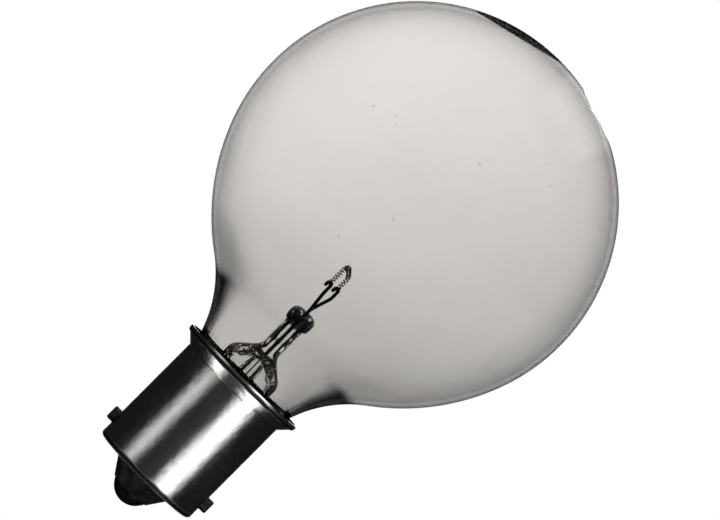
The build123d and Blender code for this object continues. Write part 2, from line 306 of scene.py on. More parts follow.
class DrawMarks(Effect):
    """Fine marks that run along a drawn or polished metal."""

    name = "draw_marks"
    inlets = ("Fineness",)
    outlets = ("Height", "Streak", "Wave")
    marks_to_streak: float = 5.0
    marks_to_wave: float = 9.0
    streak_edge: Pair = (0.35, 0.7)

    def fill(self, sheet: NodeSheet, given: Outlets) -> dict[str, Socket]:
        """Add fine lines and broader streaks along Z, and shallow waves.

        Args:
            sheet: The group's sheet.
            given: The group's inputs.

        Returns:
            A socket for each outlet.
        """
        where, fine = sheet.place(LENGTHWISE), given["Fineness"]
        broad = sheet.sum("DIVIDE", fine, self.marks_to_streak)
        streaks = sheet.noise(where, broad, detail=2.0, rough=0.5)
        shallow = sheet.sum("DIVIDE", fine, self.marks_to_wave)
        return {
            "Height": sheet.noise(where, fine, detail=2.0, rough=0.6),
            "Streak": sheet.ramp(streaks, self.streak_edge),
            "Wave": sheet.noise(sheet.place(), shallow, detail=2.0, rough=0.5),
        }


class Pits(Effect):
    """Small pits and lumps, as in cast or moulded stuff."""

    name = "pits"
    inlets = ("Size",)
    outlets = ("Height", "Pit")
    pit_edge: Pair = (0.05, 0.35)
    lumps_to_pit: float = 0.35

    def fill(self, sheet: NodeSheet, given: Outlets) -> dict[str, Socket]:
        """Add round pits over uneven lumps.

        Args:
            sheet: The group's sheet.
            given: The group's inputs.

        Returns:
            A socket for each outlet.
        """
        where, size = sheet.place(), given["Size"]
        pit = sheet.ramp(sheet.cells(where, size, "SMOOTH_F1"), self.pit_edge)
        broad = sheet.product(size, self.lumps_to_pit)
        lumps = sheet.noise(where, broad, detail=3.0, rough=0.6)
        return {"Height": sheet.product(pit, lumps), "Pit": pit}


SKIN = GlassSkin()
MOTTLE = Mottle()
MARKS = DrawMarks()
PITS = Pits()


@dataclass(frozen=True)
class Finish:
    """A finish of a piece or of the stage.

    Attributes:
        name: The finish's name.
    """

    name: str

    def material(self) -> bpy.types.Material:
        """Make the material once.

        Returns:
            The material.
        """
        made = bpy.data.materials.get(f"{self.name}_finish")
        if made is None:
            made = bpy.data.materials.new(f"{self.name}_finish")
            made.use_nodes = True
            made.node_tree.nodes.clear()
            sheet = NodeSheet(made.node_tree)
            sheet.add("ShaderNodeOutputMaterial", {"Surface": self.shade(sheet)})
        return made

    def shade(self, sheet: NodeSheet) -> Socket:
        """Add the finish's nodes and give the shader's socket."""
        raise NotImplementedError


# The painted shade's colour and roughness, how many ragged bits fit in a metre and how high they
# are, and how squarely a side darkened by painted shade looks at the lamp's axis.
PAINTED_SHADE: Colour = (0.02, 0.018, 0.016)
PAINTED_SHADE_ROUGH = 0.5
PAINTED_SHADE_BITS = 700.0
PAINTED_SHADE_RAGGED = 0.0003
INWARD = (-0.3, -0.1)

# How much of each kind of wear dulls a metal, and how many spots there are to a cloud.
PIT_WEAR = 0.7
STREAK_WEAR = 0.35
CLOUD_WEAR = 0.6
SPOT_WEAR = 0.12
SPOTS_TO_CLOUD = 9.0


@dataclass(frozen=True)
class MetalFinish(Finish):
    """Plated, drawn or soldered metal.

    Attributes:
        bright: The clean metal's colour.
        dull: The tarnished metal's colour.
        smooth: The clean metal's roughness.
        rough: The tarnished metal's roughness.
        cloud: How many clouds of tarnish fit in a metre.
        marks: How many draw marks fit in a metre.
        depth: How deep the marks are, in metres.
        make: Whether the metal is drawn or cast.
        painted_shade_heights: The heights between which painted shade begins, ends and leaves the
            foot, or
        nothing. A piece with painted shade is also darkened by painted shade on the side towards
        the lamp's axis.
        dents: How deep the broad waves in a drawn metal are, in metres.
    """

    bright: Colour
    dull: Colour
    smooth: float = 0.25
    rough: float = 0.45
    cloud: float = 600.0
    marks: float = 9000.0
    depth: float = 0.000003
    make: Make = Make.DRAWN
    painted_shade_heights: tuple[Pair, ...] = ()
    dents: float = 0.0

    def painted_shade_mask(self, sheet: NodeSheet) -> Socket:
        """Mask the painted shade: the band at the lip, the foot and the inside.

        Args:
            sheet: The material's sheet.

        Returns:
            The mask's socket.
        """
        ragged = sheet.noise(sheet.place(), PAINTED_SHADE_BITS, detail=3.0)
        ragged = sheet.sum("MULTIPLY_ADD", ragged, PAINTED_SHADE_RAGGED, -PAINTED_SHADE_RAGGED / 2)
        height = sheet.sum("ADD", sheet.axis("Z"), ragged)
        rise, end, foot = self.painted_shade_heights
        band = sheet.product(sheet.ramp(height, rise), sheet.fall(height, end))
        outward = sheet.vector("NORMALIZE", sheet.place(LEVEL))
        normal = sheet.add("ShaderNodeNewGeometry").outputs["Normal"]
        turn = sheet.vector("DOT_PRODUCT", outward, normal)
        return sheet.most(band, sheet.fall(height, foot), sheet.fall(turn, INWARD))

    def shade(self, sheet: NodeSheet) -> Socket:
        """Mix clean and tarnished metal, with marks along the piece, and painted shade where
        heights for it are given.

        Args:
            sheet: The material's sheet.

        Returns:
            The shader's socket.
        """
        mottle = MOTTLE.use(sheet, Size=self.cloud, Spots=self.cloud * SPOTS_TO_CLOUD)
        if self.make is Make.CAST:
            texture = PITS.use(sheet, Size=self.marks)
            worn = sheet.product(texture["Pit"], PIT_WEAR)
        else:
            texture = MARKS.use(sheet, Fineness=self.marks)
            worn = sheet.product(texture["Streak"], STREAK_WEAR)
        worn = sheet.sum("MULTIPLY_ADD", mottle["Tarnish"], CLOUD_WEAR, worn)
        worn = sheet.sum("MULTIPLY_ADD", mottle["Spots"], SPOT_WEAR, worn, clamp=True)
        colour = sheet.blend(worn, self.bright, self.dull)
        rough = sheet.mix(worn, self.smooth, self.rough)
        # Painted shade: the band at the shell's lip, its foot and its inside are darkened to near
        # black.
        if self.painted_shade_heights:
            painted_shade_mask = self.painted_shade_mask(sheet)
            colour = sheet.blend(painted_shade_mask, colour, PAINTED_SHADE)
            rough = sheet.mix(painted_shade_mask, rough, PAINTED_SHADE_ROUGH)
        height = texture["Height"]
        if self.dents:
            times = self.dents / self.depth
            height = sheet.sum("MULTIPLY_ADD", texture["Wave"], times, height)
        normal = sheet.bump(height, self.depth)
        return sheet.surface(colour, rough, Metallic=1.0, Normal=normal)


# The glass is painted lighter upwards in the picture and darker downwards, as painted light and
# shade, measured from the globe's middle. The painted shade at an edge shares some of that. A
# painted highlight makes one edge brighter than its tint. Thick film is a little rough.
PAINTED_LIGHT_UP = (-math.sqrt(0.5), 0.0, math.sqrt(0.5))
PAINTED_LIGHT_MIDDLE = 0.0317
EDGE_SHARE = 0.4
PAINTED_HIGHLIGHT_LEVEL = 1.18
THICK_FILM = (0.4, 0.8)
FILM_ROUGH = 0.012

# How far the surface turns from the eye where the painted shade at an edge begins and is full, how
# that changes per metre along X, Y and Z, and the same turn for a wall seen along its length and
# for the ring where specks end and the painted highlight at an edge begins.
EDGE_TURN = (0.226, 0.646)
EDGE_DRIFT = (1.04, 0.0, -3.86)
WALL_TURN = (0.76, 0.82)
RING_TURN = (0.3, 0.6)


@dataclass(frozen=True)
class ClearGlassFinish(Finish):
    """Clear lamp glass with a faint grey film, and painted light and shade on it.

    Attributes:
        slot: The record's material slot; not used.
        tint: The colour of light through a wall, at the middle.
        edge: The near-black tint of the dark reflections painted at edges.
        waves: How many waves fit in a metre.
        depth: How deep the waves are, in metres.
        film: How strong the film's clouds are.
        index: The refractive index.
        fall: How much painted light brightens the glass from one side to the other, per metre.
        speck: How dark the specks are.
        rim: How much painted shade darkens the glass towards an edge.
        wall: How much darker the wall is where it is seen along its length.
    """

    slot: str
    tint: Colour
    edge: Colour
    waves: float
    depth: float
    film: float
    index: float = 1.5
    fall: float = 0.0
    speck: float = 0.0
    rim: float = 0.0
    wall: float = 0.0

    def dark(self, sheet: NodeSheet) -> Socket:
        """Mask where a dark reflection is painted on the glass."""
        raise NotImplementedError

    def clear(self, sheet: NodeSheet) -> Source:
        """Mask where a highlight is painted at the glass's edge, or give 0 for nowhere."""
        return 0.0

    def shade(self, sheet: NodeSheet) -> Socket:
        """Tint the glass by its film and by painted light, and paint shade, a highlight and dark
        reflections on its edges.

        Args:
            sheet: The material's sheet.

        Returns:
            The shader's socket.
        """
        skin = SKIN.use(sheet, Waves=self.waves, Specks=420.0)
        # Painted light: the glass's level rises along PAINTED_LIGHT_UP, lighter at one side and
        # darker at the other.
        rise = sheet.sum("SUBTRACT", sheet.along(PAINTED_LIGHT_UP), PAINTED_LIGHT_MIDDLE)
        level = sheet.sum("MULTIPLY_ADD", rise, self.fall, 1.0 + self.film / 2)
        level = sheet.sum("MULTIPLY_ADD", skin["Film"], -self.film, level)
        speck = sheet.ramp(sheet.facing(), RING_TURN, self.speck, 0.0)
        level = sheet.sum("SUBTRACT", level, sheet.product(skin["Speck"], speck))
        wall = sheet.ramp(sheet.facing(), WALL_TURN, 1.0, 1.0 - self.wall)
        # Painted shade: the edge is darkened by rim, more towards one side by EDGE_DRIFT, and
        # shares the painted light's slope.
        rim = sheet.sum("MULTIPLY_ADD", rise, self.fall * EDGE_SHARE, 1.0 - self.rim)
        turn = sheet.sum("ADD", sheet.facing(), sheet.along(EDGE_DRIFT))
        level = sheet.product(level, wall, sheet.ramp(turn, EDGE_TURN, 1.0, rim))
        # Painted highlight: where the clear mask is full, the glass is brightened past its tint.
        level = sheet.mix(self.clear(sheet), level, PAINTED_HIGHLIGHT_LEVEL)
        colour = sheet.blend(1.0, self.tint, sheet.grey(level), "MULTIPLY")
        # Painted dark reflection: where the dark mask is full, the glass turns near black.
        colour = sheet.blend(self.dark(sheet), colour, self.edge)
        rough = sheet.ramp(skin["Film"], THICK_FILM, 0.0, FILM_ROUGH)
        others = {"Transmission Weight": 1.0, "IOR": self.index}
        return sheet.surface(colour, rough, Normal=sheet.bump(skin["Height"], self.depth), **others)


# The neck's dark edge, a painted dark reflection. The heights between which it begins, widens,
# fades to a tail and ends, the turns from the eye where it begins before and after widening and
# where it is darkest, and the tail's darkness at the left and at the right of the lamp.
NECK_RISE = (0.0135, 0.0155)
NECK_WIDEN = (0.0150, 0.0190)
NECK_FADE = (0.0215, 0.0230)
NECK_END = (0.0245, 0.0290)
NECK_TURN = (0.59, 0.43)
NECK_FULL = 0.655
NECK_TAIL = (0.42, 0.12)
LEFT_TO_RIGHT = (-0.002, 0.002)

# The painted shade beside the neck's right: its darkness, the heights where it thins out, and its
# turn.
NECK_SIDE_SHADE = 0.26
NECK_SIDE_SHADE_END = (0.0165, 0.0245)
NECK_SIDE_SHADE_TURN = (0.12, 0.4)

# The crown's dark side, a painted dark reflection: its direction, where it begins in that direction
# and ends along X, and its turn. The crown's other side, a painted highlight: its direction from
# the globe's middle, and its sector.
CROWN_WAY = (-0.2377, -0.068, 0.9714)
CROWN_RISE = (0.06765, 0.06785)
CROWN_END = (-0.0123, -0.0112)
CROWN_TURN = (0.64, 0.72)
GLOBE_MIDDLE = (0.0, 0.0, 0.0449)
PAINTED_HIGHLIGHT_WAY = (0.292, 0.0, 0.956)
PAINTED_HIGHLIGHT_SECTOR = (0.966, 0.986)


@dataclass(frozen=True)
class GlobeGlassFinish(ClearGlassFinish):
    """The globe's glass, with dark reflections painted at the neck and on one side of the crown,
    and a highlight painted on the other side.
    """

    def neck(self, sheet: NodeSheet) -> Socket:
        """Mask the dark reflection painted at the neck's edge, and the painted shade beside it at
        the right.

        Args:
            sheet: The material's sheet.

        Returns:
            The mask's socket.
        """
        height = sheet.axis("Z")
        right = sheet.ramp(sheet.axis("X"), LEFT_TO_RIGHT)
        tail = sheet.ramp(height, NECK_END, sheet.mix(right, *NECK_TAIL), 0.0)
        fade = sheet.ramp(height, NECK_FADE, 1.0, tail)
        turn = sheet.ramp(height, NECK_WIDEN, *NECK_TURN)
        edge = sheet.product(sheet.ramp(sheet.facing(), (turn, NECK_FULL)), fade)
        side_shade = sheet.ramp(height, NECK_SIDE_SHADE_END, NECK_SIDE_SHADE, 0.0)
        side_shade = sheet.product(right, sheet.ramp(sheet.facing(), NECK_SIDE_SHADE_TURN, 0.0, side_shade))
        return sheet.product(sheet.most(edge, side_shade), sheet.ramp(height, NECK_RISE))

    def crown(self, sheet: NodeSheet) -> Socket:
        """Mask the dark reflection painted on one side of the crown, on the near wall.

        Args:
            sheet: The material's sheet.

        Returns:
            The mask's socket.
        """
        side = sheet.ramp(sheet.along(CROWN_WAY), CROWN_RISE)
        end = sheet.ramp(sheet.axis("X"), CROWN_END)
        near = sheet.fall(sheet.path("Transmission Depth"), ONCE)
        return sheet.product(side, end, near, sheet.ramp(sheet.facing(), CROWN_TURN))

    def clear(self, sheet: NodeSheet) -> Source:
        """Mask the highlight painted on the crown's other side.

        Args:
            sheet: The material's sheet.

        Returns:
            The mask's socket.
        """
        way = sheet.vector("SUBTRACT", sheet.place(UPRIGHT), GLOBE_MIDDLE)
        along = sheet.vector("DOT_PRODUCT", sheet.vector("NORMALIZE", way), PAINTED_HIGHLIGHT_WAY)
        ring = sheet.ramp(sheet.facing(), RING_TURN)
        return sheet.product(sheet.ramp(along, PAINTED_HIGHLIGHT_SECTOR), ring)

    def dark(self, sheet: NodeSheet) -> Socket:
        """Join the dark reflections painted at the neck and the crown."""
        return sheet.most(self.neck(sheet), self.crown(sheet))


# The stem: the heights where its tube turns into the press and the press into the bead, how
# much deeper than wide the press is, the turns of their painted dark edges, how many lumps fit in a
# metre and how far they shift an edge, and the same number and the noise for its painted glints.
STEM_PRESS = (0.0172, 0.0190)
STEM_BEAD = (0.0230, 0.0242)
PRESS_LENS = (3.0, 1.0, 0.0)
TUBE_TURN = (0.4, 0.54)
PRESS_TURN = (0.14, 0.28)
STEM_LUMPS = 620.0
LUMP_SHIFT = 0.5
STEM_GLINTS = 1300.0
GLINT_EDGE = (0.55, 0.6)


@dataclass(frozen=True)
class StemGlassFinish(ClearGlassFinish):
    """The stem's thick glass, with dark reflections painted at its edges and painted shade over its
    bead.
    """

    def dark(self, sheet: NodeSheet) -> Socket:
        """Paint dark reflections on the tube's rim and the sides of the press and shade over the
        bead, leaving painted glints.

        Args:
            sheet: The material's sheet.

        Returns:
            The mask's socket.
        """
        height = sheet.axis("Z")
        lens = sheet.vector("NORMALIZE", sheet.place(PRESS_LENS))
        lumps = sheet.noise(sheet.place(), STEM_LUMPS, detail=2.0)
        lumps = sheet.sum("MULTIPLY_ADD", lumps, LUMP_SHIFT, -LUMP_SHIFT / 2)
        tube = sheet.ramp(sheet.sum("ADD", sheet.facing(), lumps), TUBE_TURN)
        sides = sheet.ramp(sheet.sum("ADD", sheet.facing(lens), lumps), PRESS_TURN)
        high = sheet.ramp(height, STEM_PRESS)
        low = sheet.sum("SUBTRACT", 1.0, high)
        edge = sheet.sum("MULTIPLY_ADD", tube, low, sheet.product(sides, high))
        # Painted glints: noise spots where the painted darkness is left out.
        glints = sheet.fall(sheet.noise(sheet.place(), STEM_GLINTS, detail=1.0), GLINT_EDGE)
        # Painted shade covers the whole bead.
        return sheet.product(sheet.most(edge, sheet.ramp(height, STEM_BEAD)), glints)


@dataclass(frozen=True)
class PatchyFinish(Finish):
    """A dull stuff with patches.

    Attributes:
        body: Its colour.
        patch: The patches' colour.
        rough: The roughness of the body and of the patches.
        depth: How deep its bumps are, in metres.
    """

    body: Colour
    patch: Colour
    rough: Pair
    depth: float

    def texture(self, sheet: NodeSheet) -> tuple[Socket, Socket]:
        """Give the patches' mask and the bumps' height."""
        raise NotImplementedError

    def shade(self, sheet: NodeSheet) -> Socket:
        """Add the patches and the bumps.

        Args:
            sheet: The material's sheet.

        Returns:
            The shader's socket.
        """
        mask, height = self.texture(sheet)
        colour = sheet.blend(mask, self.body, self.patch)
        rough = sheet.mix(mask, *self.rough)
        return sheet.surface(colour, rough, Normal=sheet.bump(height, self.depth))


@dataclass(frozen=True)
class DarkGlassFinish(PatchyFinish):
    """Black moulded glass, with dull patches and shallow moulding waves."""

    def texture(self, sheet: NodeSheet) -> tuple[Socket, Socket]:
        """Give the patches' mask and the waves' height."""
        mottle, skin = MOTTLE.use(sheet, Size=420.0), SKIN.use(sheet, Waves=520.0, Specks=1600.0)
        return sheet.most(mottle["Tarnish"], skin["Speck"]), skin["Height"]


@dataclass(frozen=True)
class CementFinish(PatchyFinish):
    """Baked cement, with pale grains and pits."""

    def texture(self, sheet: NodeSheet) -> tuple[Socket, Socket]:
        """Give the grains' mask and the pits' height."""
        pits, mottle = PITS.use(sheet, Size=3600.0), MOTTLE.use(sheet, Size=500.0)
        return sheet.product(pits["Pit"], mottle["Tarnish"]), pits["Height"]


GLOBE_GLASS = GlobeGlassFinish(
    "globe_glass", "clear_glass", tint=(0.842, 0.826, 0.810), edge=(0.002, 0.002, 0.002),
    waves=45.0, depth=0.000004, film=0.08, fall=7.0, speck=0.3, rim=0.19, wall=0.3,
)
STEM_GLASS = StemGlassFinish(
    "stem_glass", "stem_glass", tint=(0.98, 0.98, 0.97), edge=(0.0006, 0.0006, 0.0006),
    waves=600.0, depth=0.00008, film=0.04, index=1.35,
)
NICKEL_PLATE = MetalFinish(
    "nickel_plate", bright=(0.68, 0.67, 0.655), dull=(0.56, 0.55, 0.53), smooth=0.15, rough=0.22,
    cloud=150.0, marks=4200.0, depth=0.0000025, dents=0.00006,
    # The heights of the shell's painted shade at its lip and foot.
    painted_shade_heights=((0.0139, 0.0141), (0.0144, 0.0147), (-0.0023, -0.0019)),
)
# Painted shade: the pins' nickel plating is given a much darker copy of the shell's colour.
PIN_PLATE = MetalFinish(
    "pin_plate", bright=(0.26, 0.255, 0.25), dull=(0.1, 0.1, 0.1), smooth=0.2, rough=0.34,
    cloud=300.0, marks=4200.0, depth=0.000004,
)
# Painted shade: the nickel leads are coloured near black.
NICKEL_WIRE = MetalFinish("nickel_wire", bright=(0.03, 0.03, 0.03), dull=(0.015, 0.015, 0.015))
SEAL_WIRE = MetalFinish(
    "seal_wire", bright=(0.07, 0.04, 0.032), dull=(0.03, 0.02, 0.018), smooth=0.35, rough=0.55,
    cloud=700.0,
)
COPPER_WIRE = MetalFinish("copper_wire", bright=(0.3, 0.17, 0.12), dull=(0.12, 0.07, 0.05))
# Painted shade: the tungsten filament is coloured near black.
TUNGSTEN = MetalFinish(
    "tungsten", bright=(0.03, 0.03, 0.031), dull=(0.01, 0.01, 0.0105), smooth=0.3, rough=0.5,
    cloud=900.0, marks=14000.0, depth=0.000002,
)
# Painted shade: the brass contact is coloured near black.
CONTACT_BRASS = MetalFinish(
    "contact_brass", bright=(0.06, 0.048, 0.03), dull=(0.02, 0.017, 0.012), cloud=500.0,
    marks=6000.0,
)
SOLDER = MetalFinish(
    "solder", bright=(0.3, 0.3, 0.3), dull=(0.1, 0.1, 0.1), smooth=0.3, rough=0.55,
    cloud=520.0, marks=2600.0, depth=0.00003, make=Make.CAST,
)
BLACK_GLASS = DarkGlassFinish(
    "black_glass", body=(0.006, 0.006, 0.006), patch=(0.02, 0.02, 0.02), rough=(0.12, 0.34),
    depth=0.00006,
)
CEMENT = CementFinish(
    "cement", body=(0.08, 0.06, 0.045), patch=(0.2, 0.165, 0.125), rough=(0.95, 0.8),
    depth=0.00005,
)


def make_piece(name: str, points: list[Point], faces: Faces, finish: Finish) -> Thing:
    """Make a smooth piece from points and faces.

    Args:
        name: The piece's name.
        points: Its corners, in metres.
        faces: The corners of each face.
        finish: Its finish.

    Returns:
        The new object.
    """
    mesh = bpy.data.meshes.new(name)
    mesh.from_pydata(points, [], faces)
    shape = bmesh.new()
    shape.from_mesh(mesh)
    bmesh.ops.recalc_face_normals(shape, faces=shape.faces)
    shape.to_mesh(mesh)
    shape.free()
    mesh.shade_smooth()
    mesh.materials.append(finish.material())
    piece = bpy.data.objects.new(name, mesh)
    bpy.context.scene.collection.objects.link(piece)
    return piece


def climb(start: float, end: float, steps: int, first: int = 1) -> Iterator[Pair]:
    """Give each share of the way from one height to another in even steps, and its height."""
    for share in (step / steps for step in range(first, steps + 1)):
        yield share, start + (end - start) * share


def level_ring(height: float, half: Pair, around: int, square: float = 2.0) -> Ring:
    """Give a level ring of points round the lamp's axis.

    Args:
        height: The ring's height.
        half: Half its size along X and Y.
        around: How many points it has.
        square: 2 for an ellipse, and more for squarer corners.

    Returns:
        The ring's points.
    """
    made = []
    for step in range(around):
        angle = 2 * math.pi * step / around
        across, along = math.cos(angle), math.sin(angle)
        x = math.copysign(abs(across) ** (2 / square), across) * half[0]
        y = math.copysign(abs(along) ** (2 / square), along) * half[1]
        made.append((x, y, height))
    return made


def skin_rings(rings: list[Ring], start: float, end: float) -> tuple[list[Point], Faces]:
    """Join rings of equal count into a closed skin.

    Args:
        rings: The rings in order.
        start: The height of the point that closes the first ring.
        end: The height of the point that closes the last ring.

    Returns:
        The points and the faces.
    """
    count = len(rings[0])
    points = [point for ring in rings for point in ring]
    first, last = len(points), len(points) + 1
    points += [(0.0, 0.0, start), (0.0, 0.0, end)]
    steps = [(step, (step + 1) % count) for step in range(count)]
    faces: Faces = []
    for level in range(len(rings) - 1):
        low, high = level * count, (level + 1) * count
        faces += [(low + step, low + after, high + after, high + step) for step, after in steps]
    top = (len(rings) - 1) * count
    for step, after in steps:
        faces += [(first, after, step), (last, top + step, top + after)]
    return points, faces


def dress_nodes(finish: Finish, *nodes: str) -> None:
    """Give some CAD nodes their finish.

    Args:
        finish: The finish.
        *nodes: The nodes' names.
    """
    for node in nodes:
        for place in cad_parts[node].material_slots:
            place.material = finish.material()
        LOG.info("dressed %s in %s", node, finish.name)


@dataclass
class Envelope:
    """The blown glass globe with its shoulder and neck.

    Attributes:
        wall: The glass's thickness.
        neck_radius: The straight neck's outer radius.
        neck_curve: The radius of the neck's outward curve.
        shoulder: The radius of the shoulder.
        drop: The angle below the equator where the shoulder begins.
        steps: How many steps the straight neck, its curve, the shoulder and the globe take.
        around: How many steps go round the globe.
    """

    wall: float = 0.55 * MM
    neck_radius: float = 6.9 * MM
    neck_curve: float = 16.2 * MM
    shoulder: float = 29.0 * MM
    drop: float = math.radians(20.0)
    steps: tuple[int, int, int, int] = (4, 26, 24, 56)
    around: int = 160

    def outline(self, inset: float) -> list[Pair]:
        """Give the half outline from the neck's end to the top.

        Args:
            inset: How far inside the outer face it lies.

        Returns:
            Points as radius and height.
        """
        low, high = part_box("glass_globe")
        globe = (high[0] - low[0]) / 2
        globe_z = high[2] - globe
        reach = self.shoulder - globe
        shoulder_x = -reach * math.cos(self.drop)
        shoulder_z = globe_z + reach * math.sin(self.drop)
        curve_x = self.neck_radius + self.neck_curve
        apart = self.neck_curve + self.shoulder
        turn = math.acos((curve_x - shoulder_x) / apart)
        bend = shoulder_z - apart * math.sin(turn)
        straight, *curved = self.steps
        neck = list(climb(low[2], bend, straight, first=0))[:-1]
        line = [(self.neck_radius - inset, height) for _, height in neck]
        arcs = (
            (curve_x, bend, self.neck_curve + inset, math.pi, math.pi - turn),
            (shoulder_x, shoulder_z, self.shoulder - inset, -turn, -self.drop),
            (0.0, globe_z, globe - inset, -self.drop, math.pi / 2),
        )
        for (x, z, radius, start, end), steps in zip(arcs, curved):
            for step in range(steps):
                angle = start + (end - start) * step / steps
                line.append((x + radius * math.cos(angle), z + radius * math.sin(angle)))
        line.append((0.0, globe_z + globe - inset))
        return line

    def build(self) -> Thing:
        """Turn the outline into the globe.

        Returns:
            The globe.
        """
        inside, outside = self.outline(self.wall), self.outline(0.0)
        path = [*reversed(inside[:-1]), *outside[:-1]]
        rings = [level_ring(height, (radius, radius), self.around) for radius, height in path]
        points, faces = skin_rings(rings, inside[-1][1], outside[-1][1])
        globe = make_piece("globe", points, faces, GLOBE_GLASS)
        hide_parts("glass_globe")
        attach(globe, "root")
        LOG.info("built %s", globe.name)
        return globe


@dataclass
class FilamentMount:
    """The glass stem with its exhaust tube, leads and filament.

    Attributes:
        tube: The stem tube's outer radius.
        wall: The tube's wall.
        flare: The outer radius of the flare, fused to the neck.
        flare_height: The height of the flare.
        shoulder_foot: Where the tube begins to close.
        press_foot: Where the flat press begins.
        bead_foot: Where the bead begins.
        cavity_top: Where the tube's hollow ends.
        hollow: Half the size that the hollow closes to, along X and Y.
        press: Half the press's thickness and width.
        bead: Half the bead's thickness and width.
        around: How many steps go round the stem.
    """

    tube: float = 4.05 * MM
    wall: float = 0.8 * MM
    flare: float = 6.35 * MM
    flare_height: float = 3.2 * MM
    shoulder_foot: float = 16.2 * MM
    press_foot: float = 19.8 * MM
    bead_foot: float = 23.6 * MM
    cavity_top: float = 18.4 * MM
    hollow: Pair = (1.6 * MM, 2.6 * MM)
    press: Pair = (1.35 * MM, 3.0 * MM)
    bead: Pair = (1.8 * MM, 3.4 * MM)
    around: int = 96

    def close_in(self, share: float, thin: Pair, wide: float) -> Pair:
        """Give half the size at a share of the way from the round tube to a flatter end."""
        smooth = share * share * (3 - 2 * share)
        return (wide + (thin[0] - wide) * smooth, wide + (thin[1] - wide) * smooth)

    def tube_ring(self, height: float, low: float, radius: float, reach: float) -> Ring:
        """Give a ring of the tube, whose radius grows to its reach at the flare's low end."""
        spread = max(0.0, (low + self.flare_height - height) / self.flare_height)
        return level_ring(height, (radius + (reach - radius) * spread**2,) * 2, self.around)

    def inside(self, low: float) -> list[Ring]:
        """Give the hollow's rings, from its domed top down to the flare.

        Args:
            low: The height of the stem's foot.

        Returns:
            The rings in order.
        """
        bore, dome_foot, tip = self.tube - self.wall, 0.55, 0.05
        rings = []
        for share, height in climb(self.cavity_top, self.shoulder_foot, steps=14, first=0):
            dome = max(0.0, (1 - share - dome_foot) / (1 - dome_foot))
            size = max(math.sqrt(max(0.0, 1 - dome**2)), tip)
            half = self.close_in(1 - share, self.hollow, bore)
            rings.append(level_ring(height, (half[0] * size, half[1] * size), self.around))
        for _, height in climb(self.shoulder_foot, low, steps=12):
            rings.append(self.tube_ring(height, low, bore, self.flare - self.wall))
        return rings

    def outside(self, low: float, high: float) -> list[Ring]:
        """Give the outer rings, from the flare up to the bead.

        Args:
            low: The height of the stem's foot.
            high: The height of the bead's top.

        Returns:
            The rings in order.
        """
        ellipse, press_square, bead_square, fullness = 2.0, 3.4, 3.0, 2.6
        rings = []
        for _, height in climb(low, self.shoulder_foot, steps=12, first=0):
            rings.append(self.tube_ring(height, low, self.tube, self.flare))
        for share, height in climb(self.shoulder_foot, self.press_foot, steps=24):
            half = self.close_in(share, self.press, self.tube)
            square = ellipse + (press_square - ellipse) * share
            rings.append(level_ring(height, half, self.around, square))
        for _, height in climb(self.press_foot, self.bead_foot, steps=9):
            rings.append(level_ring(height, self.press, self.around, press_square))
        for share, height in list(climb(self.bead_foot, high, steps=24))[:-1]:
            swell = (1 - abs(2 * share - 1) ** fullness) ** (1 / fullness)
            thin = (0.0, 0.0) if share > 0.5 else self.press
            half = tuple(least + (full - least) * swell for least, full in zip(thin, self.bead))
            rings.append(level_ring(height, half, self.around, bead_square))
        return rings

    def build(self) -> Thing:
        """Skin the stem, from its hollow down to the flare and up to the bead.

        Returns:
            The stem.
        """
        low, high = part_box("glass_stem")
        rings = self.inside(low[2]) + self.outside(low[2], high[2])
        points, faces = skin_rings(rings, self.cavity_top, high[2])
        stem = make_piece("stem", points, faces, STEM_GLASS)
        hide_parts("glass_stem")
        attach(stem, "root")
        LOG.info("built %s", stem.name)
        return stem

    def dress(self) -> None:
        """Finish the exhaust tube, leads and filament."""
        dress_nodes(STEM_GLASS, "exhaust_tube")
        dress_nodes(SEAL_WIRE, "seal_wire_near", "seal_wire_far")
        dress_nodes(NICKEL_WIRE, "inner_lead_near", "inner_lead_far")
        dress_nodes(COPPER_WIRE, "contact_lead", "shell_lead")
        dress_nodes(TUNGSTEN, "filament")


@dataclass
class BayonetCap:
    """The plated cap with its pins, insulator, contact and solder."""

    def dress(self) -> None:
        """Finish the cap's pieces."""
        dress_nodes(NICKEL_PLATE, "cap_shell")
        dress_nodes(PIN_PLATE, "bayonet_pin_left", "bayonet_pin_right")
        dress_nodes(BLACK_GLASS, "insulator")
        dress_nodes(CONTACT_BRASS, "contact_plate")
        dress_nodes(SOLDER, "contact_solder", "rim_solder")
        dress_nodes(CEMENT, "cement")


def back_light(sheet: NodeSheet, front: Source, mirror: Source) -> Socket:
    """Give the strength of the white round the lamp, as its front or a piece inside mirrors it."""
    mirrored = sheet.ramp(sheet.path("Transmission Depth"), TWICE, front, mirror)
    return sheet.mix(sheet.path("Glossy Depth"), 1.0, mirrored)


